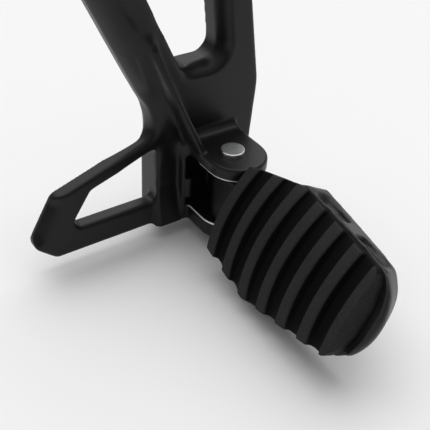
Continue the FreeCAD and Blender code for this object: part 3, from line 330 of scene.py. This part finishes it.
class Shader(NodeBench):
    """A material with a Principled BSDF."""

    def __init__(self, name: str) -> None:
        """Starts a material.

        Args:
            name: The material's name.
        """
        self.material = bpy.data.materials.new(name)
        self.material.use_nodes = True
        super().__init__(self.material.node_tree)
        surface = self.node("ShaderNodeBsdfPrincipled", out="BSDF")
        self.node("ShaderNodeOutputMaterial", {}, {"Surface": surface}, out=None)
        self.surface = surface.socket.node

    def set(self, **values: Any) -> None:
        """Feeds the Principled BSDF; underscores in a name stand for spaces."""
        for key, value in values.items():
            self.feed(self.surface.inputs[key.replace("_", " ")], value)

    def coords(self) -> Sock:
        """Returns the point in the row frame, in metres."""
        return self.node("ShaderNodeTexCoord", out="Object")

    def noise(self, point: Sock, per_m: float, detail: float = 2.0, rough: float = 0.5) -> Sock:
        """Returns a noise value around 0.5.

        Args:
            point: Where the noise is read.
            per_m: Noise cells per metre.
            detail: Octaves of finer noise.
            rough: How strong the finer octaves are.

        Returns:
            The noise value.
        """
        return self.node("ShaderNodeTexNoise", {"noise_dimensions": "3D"},
                         {"Vector": point, "Scale": per_m, "Detail": detail, "Roughness": rough}, out="Fac")

    def cells(self, point: Sock, per_m: float) -> Sock:
        """Returns the distance to the nearest of scattered points.

        Args:
            point: Where the pattern is read.
            per_m: Points per metre.

        Returns:
            The distance, about 0 to 1.
        """
        return self.node("ShaderNodeTexVoronoi", {"feature": "F1"}, {"Vector": point, "Scale": per_m},
                         out="Distance")

    def blend(self, share: Union[Sock, Number], low: Union[Sock, Colour], high: Union[Sock, Colour]) -> Sock:
        """Mixes two colours.

        Args:
            share: How much of the second colour shows.
            low: The first colour.
            high: The second colour.

        Returns:
            The mixed colour.
        """
        return self.node("ShaderNodeMix", {"data_type": "RGBA"}, {0: share, 6: low, 7: high}, out=2)

    def bump(self, height: Sock, strength: float, depth_mm: float) -> Sock:
        """Turns a height into a normal.

        Args:
            height: The relief, 0 to 1.
            strength: How much of it shows.
            depth_mm: Its depth.

        Returns:
            The normal.
        """
        return self.node("ShaderNodeBump", {},
                         {"Height": height, "Strength": strength, "Distance": depth_mm * MM})


@dataclass(frozen=True)
class BracketCoat:
    """Satin black powder coat of the bracket, with the ears' machined inner edges left bare."""

    coat: Colour = (0.0050, 0.0050, 0.0053)
    coat_pale: Colour = (0.0085, 0.0085, 0.0089)
    bare: Colour = (0.86, 0.86, 0.87)
    bare_metal: float = 0.5
    upper_edge_mm: Flat = (13.9, 15.2)
    lower_edge_mm: Flat = (-13.15, -12.72)
    upper_front_mm: float = 7.0
    lower_front_mm: float = 14.4
    low_blur_mm: float = 0.03
    high_blur_mm: float = 0.04
    front_blur_mm: float = 0.8
    speck_per_m: float = 5200.0
    cloud_per_m: float = 55.0
    peel_per_m: float = 1150.0
    rough: float = 0.30
    specular: float = 0.25

    def bare_edges(self, point: Sock) -> Sock:
        """Marks the ears' bare edges.

        Args:
            point: The point in the row frame.

        Returns:
            1 on a bare edge, 0 elsewhere.
        """
        y, z = point.from_pivot(Y, Z)
        marks: Union[Sock, float] = 0.0
        for (low, high), front in ((self.upper_edge_mm, self.upper_front_mm),
                                   (self.lower_edge_mm, self.lower_front_mm)):
            band = z.ramp(low - self.low_blur_mm, low + self.low_blur_mm)
            band = band * z.ramp(high + self.high_blur_mm, high - self.high_blur_mm)
            marks = marks + band * y.ramp(front + self.front_blur_mm, front - self.front_blur_mm)
        return marks

    def material(self) -> bpy.types.Material:
        """Builds the finish.

        Returns:
            The material.
        """
        shader = Shader("bracket_coat")
        point = shader.coords()
        bare = self.bare_edges(point)
        speck = shader.noise(point, self.speck_per_m, 1.0)
        cloud = shader.noise(point, self.cloud_per_m, 3.0)
        peel = shader.noise(point, self.peel_per_m, 2.0, 0.45)
        tone = shader.blend(cloud.ramp(0.25, 0.75) * 0.7 + speck * 0.3, self.coat, self.coat_pale)
        shader.set(
            Base_Color=shader.blend(bare, tone, self.bare),
            Metallic=bare * self.bare_metal,
            Roughness=self.rough + cloud * 0.08 + speck * 0.04,
            Normal=shader.bump(peel * 0.7 + speck * 0.3, strength=0.16, depth_mm=0.10),
            Specular_IOR_Level=self.specular,
        )
        return shader.material


@dataclass(frozen=True)
class PegCoat:
    """Satin black finish of the peg's casting, smoother than the bracket's coat, with painted shade on the
    tongue: it is coloured darker where it sits between the bracket's ears.
    """

    coat: Colour = (0.014, 0.014, 0.0145)
    coat_pale: Colour = (0.021, 0.021, 0.0217)
    # painted shade: the darker colour given to the tongue between the ears
    tongue_painted_shade: Colour = (0.004, 0.004, 0.0042)
    tongue_shade_ramp_mm: Flat = (22.0, 16.0)
    speck_per_m: float = 4200.0
    cloud_per_m: float = 70.0
    peel_per_m: float = 900.0
    rough: float = 0.33
    specular: float = 0.3

    def material(self) -> bpy.types.Material:
        """Builds the finish.

        Returns:
            The material.
        """
        shader = Shader("peg_coat")
        point = shader.coords()
        along, = point.from_pivot(PIVOT.along())
        speck = shader.noise(point, self.speck_per_m, 1.0)
        cloud = shader.noise(point, self.cloud_per_m, 3.0)
        peel = shader.noise(point, self.peel_per_m, 2.0, 0.4)
        coat = shader.blend(cloud.ramp(0.3, 0.7), self.coat, self.coat_pale)
        shader.set(
            # painted shade: the coat turns to the tongue's darker colour towards the pivot
            Base_Color=shader.blend(along.ramp(*self.tongue_shade_ramp_mm), coat, self.tongue_painted_shade),
            Roughness=self.rough + cloud * 0.08 + speck * 0.05,
            Normal=shader.bump(peel * 0.6 + speck * 0.4, strength=0.12, depth_mm=0.08),
            Specular_IOR_Level=self.specular,
        )
        return shader.material


@dataclass(frozen=True)
class RubberCompound:
    """Matte black moulded rubber: finely grained crests lightened by wear, and much darker grooves, partly
    clean rubber and partly painted shade.
    """

    crest: Colour = (0.013, 0.013, 0.0132)
    worn: Colour = (0.031, 0.031, 0.0312)
    # partly clean rubber, partly painted shade down in the grooves and at the foot of the outer end
    groove_clean_and_shade: Colour = (0.0012, 0.0012, 0.0013)
    crown_top_mm: float = 17.2
    crown_radius_mm: float = 58.0
    crest_depth_mm: Flat = (0.95, 0.3)
    middle_mm: float = -1.1
    end_slope_mm: float = 90.7
    end_blur_mm: float = 0.4
    end_foot_mm: Flat = (2.2, 3.0)
    grain_per_m: float = 1900.0
    pores_per_m: float = 1500.0
    cloud_per_m: float = 120.0
    rough: float = 0.66
    specular: float = 0.16

    def crests(self, point: Sock) -> Sock:
        """Marks the crests and the sloping outer end; the grooves and the foot of the end are left at 0 and
        take the darker groove colour, partly painted shade.

        Args:
            point: The point in the row frame.

        Returns:
            1 on a crest, 0 in a groove.
        """
        along, across, height = point.from_pivot(PIVOT.along(), PIVOT.across(), PIVOT.outwards())
        axis = self.crown_top_mm - self.crown_radius_mm
        reach = ((across - self.middle_mm) ** 2.0 + (height - axis) ** 2.0).root()
        low, high = (self.crown_radius_mm - depth for depth in self.crest_depth_mm)
        end = along.ramp(self.end_slope_mm - self.end_blur_mm, self.end_slope_mm + self.end_blur_mm)
        return reach.ramp(low, high).most(end * height.ramp(*self.end_foot_mm))

    def material(self) -> bpy.types.Material:
        """Builds the finish.

        Returns:
            The material.
        """
        shader = Shader("rubber_compound")
        point = shader.coords()
        crest = self.crests(point)
        grain = shader.noise(point, self.grain_per_m, 4.0, 0.65)
        pores = shader.cells(point, self.pores_per_m).ramp(0.02, 0.45)
        cloud = shader.noise(point, self.cloud_per_m, 3.0)
        worn = crest * (grain.ramp(0.3, 0.7) * 0.8 + cloud * 0.4 - 0.1)
        # partly painted shade: the grooves and the end's foot take the much darker groove colour
        skin = shader.blend(crest, self.groove_clean_and_shade, self.crest)
        shader.set(
            Base_Color=shader.blend(worn, skin, self.worn),
            Roughness=self.rough + grain * 0.2 - crest * 0.05,
            Normal=shader.bump(grain * 0.6 + pores * 0.4, strength=0.35, depth_mm=0.10),
            Specular_IOR_Level=self.specular,
        )
        return shader.material


@dataclass(frozen=True)
class PlatedSteel:
    """Zinc plated steel with faint turning rings about the pivot's axis, a mottled tone and a painted
    highlight: a pale, smoother colour beyond rim_mm from the pivot's axis.
    """

    name: str = "zinc_plate"
    tone: Colour = (0.30, 0.305, 0.31)
    tone_pale: Colour = (0.44, 0.445, 0.45)
    rough: float = 0.32
    # painted highlight: pale colour for the pin head's rim, and for whatever lies further from the pivot's
    # axis
    painted_rim_highlight: Colour = (0.86, 0.865, 0.87)
    rim_mm: float = 5.25
    rim_blur_mm: Flat = (0.5, 0.1)
    rings_per_mm: float = 5.0
    mottle_per_m: float = 900.0
    scuff_per_m: float = 3600.0

    def material(self) -> bpy.types.Material:
        """Builds the finish.

        Returns:
            The material.
        """
        shader = Shader(self.name)
        point = shader.coords()
        x, y = point.from_pivot(X, Y)
        ring = (x * x + y * y).root()
        rings = shader.node("ShaderNodeTexNoise", {"noise_dimensions": "1D"},
                            {"W": ring, "Scale": self.rings_per_mm, "Detail": 2.0}, out="Fac")
        mottle = shader.noise(point, self.mottle_per_m, 3.0)
        scuff = shader.noise(point, self.scuff_per_m, 2.0)
        # painted highlight: marks everything beyond rim_mm from the pivot's axis, starting at the pin head's
        # rim
        edge = ring.ramp(*(self.rim_mm - blur for blur in self.rim_blur_mm))
        face = shader.blend(mottle.ramp(0.3, 0.7) * 0.7 + rings * 0.3, self.tone, self.tone_pale)
        shader.set(
            Base_Color=shader.blend(edge, face, self.painted_rim_highlight),
            Metallic=1.0,
            Roughness=self.rough + mottle * 0.12 + rings * 0.06 - edge * 0.12,
            Normal=shader.bump(rings * 0.5 + scuff * 0.5, strength=0.15, depth_mm=0.03),
        )
        return shader.material


@dataclass(frozen=True)
class PlainMetal:
    """Bare metal of the small inner pieces, with a fine drawn grain."""

    name: str
    tone: Colour
    tone_dark: Colour
    rough: float
    grain_per_m: float = 2400.0
    cloud_per_m: float = 300.0

    def material(self) -> bpy.types.Material:
        """Builds the finish.

        Returns:
            The material.
        """
        shader = Shader(self.name)
        point = shader.coords()
        grain = shader.noise(point, self.grain_per_m)
        cloud = shader.noise(point, self.cloud_per_m)
        shader.set(
            Base_Color=shader.blend(cloud, self.tone_dark, self.tone),
            Metallic=1.0,
            Roughness=self.rough + grain * 0.1,
            Normal=shader.bump(grain, strength=0.1, depth_mm=0.02),
        )
        return shader.material


def dress(piece: bpy.types.Object, material: bpy.types.Material) -> None:
    """Gives a piece one material all over.

    Args:
        piece: The object to dress.
        material: Its finish.
    """
    piece.data.materials.clear()
    piece.data.materials.append(material)


def dress_node(node: str, material: bpy.types.Material) -> None:
    """Gives a solid of the frame one material all over.

    Args:
        node: The solid's name.
        material: Its finish.
    """
    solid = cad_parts[node]
    if not solid.material_slots:
        solid.data.materials.append(material)
    for slot in solid.material_slots:
        slot.material = material
    LOG.info("%s dressed in %s", node, material.name)


def bake_modifiers(piece: bpy.types.Object) -> None:
    """Turns a piece and its modifiers into a plain mesh.

    Args:
        piece: The piece, which keeps its name.
    """
    graph = bpy.context.evaluated_depsgraph_get()
    skin = bpy.data.meshes.new_from_object(piece.evaluated_get(graph))
    piece.modifiers.clear()
    piece.data = skin
    skin.name = piece.name


def ease(share: float) -> float:
    """Returns a share from 0 to 1 with a soft start and end."""
    return share * share * (3.0 - 2.0 * share)


def add_web(work: bmesh.types.BMesh, web: CornerWeb) -> None:
    """Adds a closed web to a casting before its skin is rebuilt.

    Args:
        work: The casting's mesh.
        web: The web.
    """
    corner = Vector(web.corner_mm)
    first, second = Vector(web.first).normalized(), Vector(web.second).normalized()
    half = first.angle(second) / 2
    inwards = (first + second).normalized()
    middle = corner + inwards * web.radius_mm / math.sin(half)
    reach = web.radius_mm / math.tan(half)
    start, end = (corner + edge * reach - middle for edge in (first, second))
    outline = [(corner - inwards * web.overlap_mm, (web.first_back_mm + web.second_back_mm) / 2)]
    for step in range(web.steps + 1):
        share = step / web.steps
        back = web.first_back_mm + (web.second_back_mm - web.first_back_mm) * share
        outline.append((middle + start.lerp(end, share).normalized() * web.radius_mm, back))
    home = PIVOT.place()
    front_ring, back_ring = [], []
    for spot, back in outline:
        for ring, depth in ((front_ring, web.front_mm), (back_ring, back)):
            ring.append(work.verts.new(home + Vector((spot.x, depth, spot.y)) * MM))
    work.faces.new(front_ring)
    work.faces.new(back_ring[::-1])
    for place in range(len(outline)):
        after = (place + 1) % len(outline)
        work.faces.new((front_ring[place], back_ring[place], back_ring[after], front_ring[after]))


def roll_edge(piece: bpy.types.Object, roll: EdgeRoll) -> None:
    """Rolls a front edge over by drawing the skin near it towards the casting's back face.

    Args:
        piece: The skin.
        roll: The edge and how far it rolls.
    """
    home = PIVOT.place()
    corners = [Vector(corner) for corner in roll.path_mm]
    spans = list(zip(corners, corners[1:]))
    total = sum((last - first).length for first, last in spans)
    back = home.y + roll.back_mm * MM
    for vertex in piece.data.vertices:
        if vertex.co.y > back:
            continue
        spot = Vector((vertex.co.x - home.x, vertex.co.z - home.z)) / MM
        nearest, place, passed = math.inf, 0.0, 0.0
        for first, last in spans:
            run = last - first
            along = min(1.0, max(0.0, (spot - first).dot(run) / run.length_squared))
            gap = (spot - first - run * along).length
            if gap < nearest:
                nearest, place = gap, (passed + along * run.length) / total
            passed += run.length
        depth = max(0.0, nearest - roll.round_mm) / roll.width_mm
        if depth < 1.0:
            ends = min(1.0, place / roll.fade, (1.0 - place) / roll.fade)
            turn = roll.share * (1.0 - depth) ** 2 * ease(ends)
            vertex.co.y = back - (back - vertex.co.y) * (1.0 - turn)


def soften_spot(piece: bpy.types.Object, spot: SoftSpot) -> None:
    """Evens out one stretch of a skin, fading over the outer half of its reach.

    Args:
        piece: The skin.
        spot: Where and how strongly.
    """
    middle = PIVOT.place() + Vector(spot.centre_mm) * MM
    reach = spot.reach_mm * MM
    group = piece.vertex_groups.new(name="soft_spot")
    for vertex in piece.data.vertices:
        share = min(1.0, 2.0 * (1.0 - (vertex.co - middle).length / reach))
        if share > 0.0:
            group.add([vertex.index], share, "REPLACE")
    smooth = piece.modifiers.new("soft_spot", "SMOOTH")
    smooth.factor = EVENING_SHARE
    smooth.iterations = spot.turns
    smooth.vertex_group = group.name
    bake_modifiers(piece)
    piece.vertex_groups.clear()


def softened(node: str, name: str, voxel_mm: float, smoothing: Smoothing, spots: tuple[SoftSpot, ...] = (),
             rolls: tuple[EdgeRoll, ...] = (), webs: tuple[CornerWeb, ...] = ()) -> bpy.types.Object:
    """Rebuilds a solid of the frame as one even skin with small natural radii on every edge.

    Args:
        node: The solid to start from.
        name: The new piece's name.
        voxel_mm: The size of the skin's facets.
        smoothing: How strongly the facets are evened out.
        spots: The stretches that are softer than the rest.
        rolls: The front edges that roll over.
        webs: The webs that fill corners.

    Returns:
        The new piece, at the origin, with its place in its mesh.
    """
    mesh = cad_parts[node].data.copy()
    work = bmesh.new()
    work.from_mesh(mesh)
    bmesh.ops.remove_doubles(work, verts=work.verts, dist=1e-6)
    for web in webs:
        add_web(work, web)
    bmesh.ops.recalc_face_normals(work, faces=work.faces)
    work.to_mesh(mesh)
    work.free()
    piece = bpy.data.objects.new(name, mesh)
    bpy.context.scene.collection.objects.link(piece)
    remesh = piece.modifiers.new("skin", "REMESH")
    remesh.mode = "VOXEL"
    remesh.voxel_size = voxel_mm * MM
    smooth = piece.modifiers.new("even", "SMOOTH")
    smooth.factor = EVENING_SHARE
    smooth.iterations = smoothing.value
    bake_modifiers(piece)
    for roll in rolls:
        roll_edge(piece, roll)
    for spot in spots:
        soften_spot(piece, spot)
    piece.data.shade_smooth()
    LOG.info("%s has %d faces", name, len(piece.data.polygons))
    return piece


@dataclass
class Hanger:
    """The cast bracket with its pin, washer and clip."""

    skin_voxel_mm: float = 0.63
    soft_spots: tuple[SoftSpot, ...] = (
        SoftSpot((-29.0, 24.0, 31.0), 24.0, 90),
        SoftSpot((-14.0, 16.0, 19.0), 9.0, 80),
        SoftSpot((-31.5, 22.0, 73.0), 9.0, 90),
        SoftSpot((-39.0, 22.0, 73.0), 10.0, 90),
    )
    rolled_edges: tuple[EdgeRoll, ...] = (
        EdgeRoll(((-25.0, 32.0), (-66.6, 117.5)), 0.0, 34.0, 9.5, 0.62, 0.16),
        EdgeRoll(((-87.5, -14.4), (-71.4, 14.1)), 0.0, 26.0, 6.5, 0.66, 0.3),
        EdgeRoll(((-16.0, 60.5), (-0.56, 60.5), (-8.7, 124.0)), 7.0, 34.0, 5.5, 0.42, 0.14),
    )
    webs: tuple[CornerWeb, ...] = (
        CornerWeb((-23.55, 26.83), (-0.429, 0.903), (-0.947, -0.322), 9.0, 21.0, 33.8, 25.9),
    )
    dimple_orbit_mm: float = 9.3
    dimple_radius_mm: float = 2.75
    dimple_lift_mm: float = 0.93
    dimple_angles_deg: tuple[float, ...] = (0.0, 70.0)
    coat: BracketCoat = field(default_factory=BracketCoat)
    plating: PlatedSteel = field(default_factory=PlatedSteel)
    clip_steel: PlainMetal = PlainMetal("clip_steel", (0.33, 0.33, 0.34), (0.2, 0.2, 0.21), 0.38)

    def build(self) -> None:
        """Builds the bracket's skin and dresses the hanger's pieces."""
        casting = softened("bracket", "bracket_casting", self.skin_voxel_mm, Smoothing.CAST, self.soft_spots,
                           self.rolled_edges, self.webs)
        self.press_dimples(casting)
        dress(casting, self.coat.material())
        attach(casting, "hanger")
        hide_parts("bracket")
        plated = self.plating.material()
        dress_node("pivot_pin", plated)
        dress_node("pin_washer", plated)
        dress_node("pin_clip", self.clip_steel.material())

    def press_dimples(self, casting: bpy.types.Object) -> None:
        """Presses the detent's two dimples back into the upper ear, where the evened skin has filled them.

        Args:
            casting: The bracket's skin.
        """
        home = PIVOT.place()
        radius = self.dimple_radius_mm * MM
        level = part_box("detent_ball")[1][2] + self.dimple_lift_mm * MM - radius
        for angle in self.dimple_angles_deg:
            turn = math.radians(angle)
            orbit = Vector((math.sin(turn), math.cos(turn), 0.0)) * self.dimple_orbit_mm * MM
            middle = Vector((home.x - orbit.x, home.y - orbit.y, level))
            for vertex in casting.data.vertices:
                reach = vertex.co - middle
                if reach.z > 0.0 and reach.length < radius:
                    vertex.co.z = level + math.sqrt(radius ** 2 - reach.x ** 2 - reach.y ** 2)


@dataclass
class FoldingPeg:
    """The peg's casting, its rubber and what holds the rubber."""

    body_voxel_mm: float = 0.5
    soft_spots: tuple[SoftSpot, ...] = (
        SoftSpot((-3.0, -108.0, 2.0), 34.0, 30),
        SoftSpot((8.5, -46.0, 24.0), 11.0, 60),
        SoftSpot((2.4, -96.0, 17.0), 12.0, 90),
        SoftSpot((8.4, -89.5, 17.5), 12.0, 140),
    )
    end_start_mm: float = 88.0
    end_share: float = 0.78
    pad_voxel_mm: float = 0.45
    coat: PegCoat = field(default_factory=PegCoat)
    rubber: RubberCompound = field(default_factory=RubberCompound)
    # the pad's screws lie far from the pivot's axis, so they take the plating's painted rim highlight colour
    # all over
    screw_plating: PlatedSteel = PlatedSteel("screw_plate", (0.36, 0.36, 0.37), (0.5, 0.5, 0.51), 0.32)
    bush_brass: PlainMetal = PlainMetal("bush_brass", (0.72, 0.52, 0.24), (0.55, 0.38, 0.16), 0.3)

    def build(self) -> None:
        """Builds the skins of casting and rubber and dresses the peg's pieces."""
        casting = softened("peg_body", "peg_casting", self.body_voxel_mm, Smoothing.CAST, self.soft_spots)
        dress(casting, self.coat.material())
        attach(casting, "peg")
        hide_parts("peg_body")
        rubber = softened("rubber_pad", "ribbed_rubber", self.pad_voxel_mm, Smoothing.MOULDED)
        self.draw_in_end(rubber)
        dress(rubber, self.rubber.material())
        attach(rubber, "peg")
        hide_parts("rubber_pad")
        dress_node("pad_screws", self.screw_plating.material())
        dress_node("pad_inserts", self.bush_brass.material())

    def draw_in_end(self, rubber: bpy.types.Object) -> None:
        """Draws the rubber's outer end in a little, so that a gap stays open before the rim.

        Args:
            rubber: The rubber's skin.
        """
        start = PIVOT.place().y - self.end_start_mm * MM
        for vertex in rubber.data.vertices:
            if vertex.co.y < start:
                vertex.co.y = start + (vertex.co.y - start) * self.end_share


class CoilTree(NodeBench):
    """A Geometry Nodes tree that winds a round wire into a coil with closed end turns."""

    INPUTS: dict[str, str] = {
        "Turns": "NodeSocketFloat", "Radius": "NodeSocketFloat", "Wire": "NodeSocketFloat",
        "Height": "NodeSocketFloat", "Foot": "NodeSocketVector", "Finish": "NodeSocketMaterial",
    }
    TURN_POINTS: int = 40
    WIRE_POINTS: int = 10

    def __init__(self) -> None:
        """Builds the tree."""
        super().__init__(bpy.data.node_groups.new("coil_winder", "GeometryNodeTree"))
        for name, kind in self.INPUTS.items():
            self.tree.interface.new_socket(name, in_out="INPUT", socket_type=kind)
        self.tree.interface.new_socket("Geometry", in_out="OUTPUT", socket_type="NodeSocketGeometry")
        sockets = self.tree.nodes.new("NodeGroupInput").outputs
        given = {name: Sock(self, sockets[name]) for name in self.INPUTS}
        spiral = self.node("GeometryNodeCurveSpiral", {}, {
            "Resolution": self.TURN_POINTS, "Rotations": given["Turns"], "Start Radius": given["Radius"],
            "End Radius": given["Radius"], "Height": given["Height"]})
        ring = self.node("GeometryNodeCurvePrimitiveCircle", {},
                         {"Resolution": self.TURN_POINTS, "Radius": given["Radius"]})
        span = self.node("ShaderNodeCombineXYZ", {}, {"Z": given["Height"]})
        ends = self.node("GeometryNodeMeshLine", {"mode": "END_POINTS"},
                         {"Count": 2, "Start Location": (0.0, 0.0, 0.0), "Offset": span})
        end_turns = self.node("GeometryNodeInstanceOnPoints", {}, {"Points": ends, "Instance": ring})
        loose = self.node("GeometryNodeRealizeInstances", {}, {"Geometry": end_turns})
        path = self.node("GeometryNodeJoinGeometry", {}, {0: [spiral, loose]})
        section = self.node("GeometryNodeCurvePrimitiveCircle", {},
                            {"Resolution": self.WIRE_POINTS, "Radius": given["Wire"] * 0.5})
        wire = self.node("GeometryNodeCurveToMesh", {},
                         {"Curve": path, "Profile Curve": section, "Fill Caps": True})
        placed = self.node("GeometryNodeTransform", {}, {"Geometry": wire, "Translation": given["Foot"]})
        smooth = self.node("GeometryNodeSetShadeSmooth", {}, {"Geometry": placed})
        plain = self.node("GeometryNodeRealizeInstances", {}, {"Geometry": smooth})
        dressed = self.node("GeometryNodeSetMaterial", {}, {"Geometry": plain, "Material": given["Finish"]})
        self.node("NodeGroupOutput", {}, {0: dressed}, out=None)

    def wind(self, name: str, **values: Any) -> bpy.types.Object:
        """Winds one coil and turns it into a plain mesh.

        Args:
            name: The coil's name.
            values: The tree's inputs by name.

        Returns:
            The coil, at the origin, with its place in its mesh.
        """
        piece = bpy.data.objects.new(name, bpy.data.meshes.new(name))
        winder = piece.modifiers.new("coil", "NODES")
        winder.node_group = self.tree
        for item in self.tree.interface.items_tree:
            if item.in_out == "INPUT":
                winder[item.identifier] = values[item.name]
        bpy.context.scene.collection.objects.link(piece)
        bake_modifiers(piece)
        LOG.info("%s has %d faces", name, len(piece.data.polygons))
        return piece


@dataclass
class Detent:
    """The ball and spring inside the peg's tongue."""

    turns: float = 5.0
    wire_mm: float = 0.7
    ball_steel: PlainMetal = PlainMetal("bright_ball", (0.75, 0.75, 0.76), (0.65, 0.65, 0.66), 0.12)
    spring_steel: PlainMetal = PlainMetal("spring_wire", (0.35, 0.35, 0.36), (0.22, 0.22, 0.23), 0.35)

    def build(self) -> None:
        """Dresses the ball and winds the spring in the frame spring's place, from its foot to its top."""
        dress_node("detent_ball", self.ball_steel.material())
        low, high = (Vector(corner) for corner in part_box("detent_spring"))
        wire = self.wire_mm * MM
        middle = (low + high) / 2
        coil = CoilTree().wind(
            "detent_coil", Turns=self.turns, Radius=(high.x - low.x - wire) / 2, Wire=wire,
            Height=high.z - low.z - wire, Foot=(middle.x, middle.y, low.z + wire / 2),
            Finish=self.spring_steel.material())
        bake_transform(coil)
        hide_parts("detent_spring")


@dataclass
class Studio:
    """Pale floor, soft light and the camera."""

    floor_tone: float = 0.90
    floor_mottle: float = 0.004
    floor_mottle_per_m: float = 40.0
    floor_half_m: float = 4.0
    floor_gap_mm: float = 0.2
    backdrop: Colour = (0.913, 0.913, 0.913)
    sky_high: float = 0.58
    sky_low: float = 0.06
    sky_middle: tuple[float, float, float] = (0.0, 0.15, 1.0)
    sky_spread: Flat = (0.0, 0.75)
    key_from: tuple[float, float, float] = (0.28, 0.48, 1.10)
    key_spread_deg: float = 80.0
    key_strength: float = 1.92
    camera_place_mm: tuple[float, float, float] = (-141.80, -247.93, 78.54)
    azimuth_deg: float = 36.73
    elevation_deg: float = 37.76
    roll_deg: float = 3.868
    lens_mm: float = 62.65
    sensor_mm: float = 36.0
    clip_m: Flat = (0.01, 50.0)

    def build(self) -> None:
        """Builds the whole set."""
        self.build_floor()
        self.build_world()
        self.build_lamps()
        self.build_camera()

    def build_floor(self) -> None:
        """Lays a wide floor just under the object."""
        level = CAD_BOX[0][2] - self.floor_gap_mm * MM
        half = self.floor_half_m
        corners = [(x * half, y * half, level) for x, y in ((-1, -1), (1, -1), (1, 1), (-1, 1))]
        mesh = bpy.data.meshes.new("studio_floor")
        mesh.from_pydata(corners, [], [(0, 1, 2, 3)])
        floor = bpy.data.objects.new("studio_floor", mesh)
        bpy.context.scene.collection.objects.link(floor)
        shader = Shader("floor_paper")
        mottle = shader.noise(shader.coords(), self.floor_mottle_per_m)
        tone = shader.blend(mottle, (self.floor_tone,) * 3, (self.floor_tone + self.floor_mottle,) * 3)
        shader.set(Base_Color=tone, Roughness=0.9, Specular_IOR_Level=0.1)
        dress(floor, shader.material)

    def build_world(self) -> None:
        """Lights the set from a wide bright ceiling over dim walls; the camera sees a pale backdrop."""
        world = bpy.data.worlds.new("studio_sky")
        bpy.context.scene.world = world
        world.use_nodes = True
        sky = NodeBench(world.node_tree)
        heading = sky.node("ShaderNodeTexCoord", out="Generated")
        height = heading.dot(Vector(self.sky_middle).normalized()).ramp(*self.sky_spread)
        level = self.sky_low + height * (self.sky_high - self.sky_low)
        light = sky.node("ShaderNodeBackground", {}, {"Color": (1.0, 1.0, 1.0), "Strength": level})
        shown = sky.node("ShaderNodeBackground", {}, {"Color": self.backdrop, "Strength": 1.0})
        seen = sky.node("ShaderNodeLightPath", out="Is Camera Ray")
        mixed = sky.node("ShaderNodeMixShader", {}, {0: seen, 1: light, 2: shown})
        sky.node("ShaderNodeOutputWorld", {}, {"Surface": mixed}, out=None)

    def build_lamps(self) -> None:
        """Lights the set from above, behind and to the right with one broad soft source."""
        lamp = bpy.data.lights.new("soft_key", "SUN")
        lamp.energy = self.key_strength
        lamp.angle = math.radians(self.key_spread_deg)
        holder = bpy.data.objects.new("soft_key", lamp)
        holder.rotation_euler = Vector(self.key_from).to_track_quat("Z", "Y").to_euler()
        bpy.context.scene.collection.objects.link(holder)

    def build_camera(self) -> None:
        """Places the camera at the photographed angle."""
        turns = (self.azimuth_deg, self.elevation_deg, self.roll_deg)
        azimuth, elevation, roll = (math.radians(turn) for turn in turns)
        forward = Vector((math.sin(azimuth) * math.cos(elevation), math.cos(azimuth) * math.cos(elevation),
                          -math.sin(elevation)))
        level = Vector((math.cos(azimuth), -math.sin(azimuth), 0.0))
        upright = level.cross(forward)
        right = math.cos(roll) * level + math.sin(roll) * upright
        top = -math.sin(roll) * level + math.cos(roll) * upright
        turn = Matrix((right, top, -forward)).transposed().to_4x4()
        data = bpy.data.cameras.new("photo_camera")
        data.sensor_fit = "HORIZONTAL"
        data.sensor_width = self.sensor_mm
        data.lens = self.lens_mm
        data.clip_start, data.clip_end = self.clip_m
        camera = bpy.data.objects.new("photo_camera", data)
        camera.matrix_world = Matrix.Translation(Vector(self.camera_place_mm) * MM) @ turn
        bpy.context.scene.collection.objects.link(camera)
        bpy.context.scene.camera = camera


def main() -> None:
    """Builds and dresses every sub-assembly."""
    logging.basicConfig(level=logging.INFO, format="%(name)s: %(message)s")
    bpy.context.scene.view_settings.view_transform = "Standard"
    for assembly in (Studio(), Hanger(), FoldingPeg(), Detent()):
        assembly.build()
        LOG.info("%s built", type(assembly).__name__)


if __name__ == "__main__":
    main()
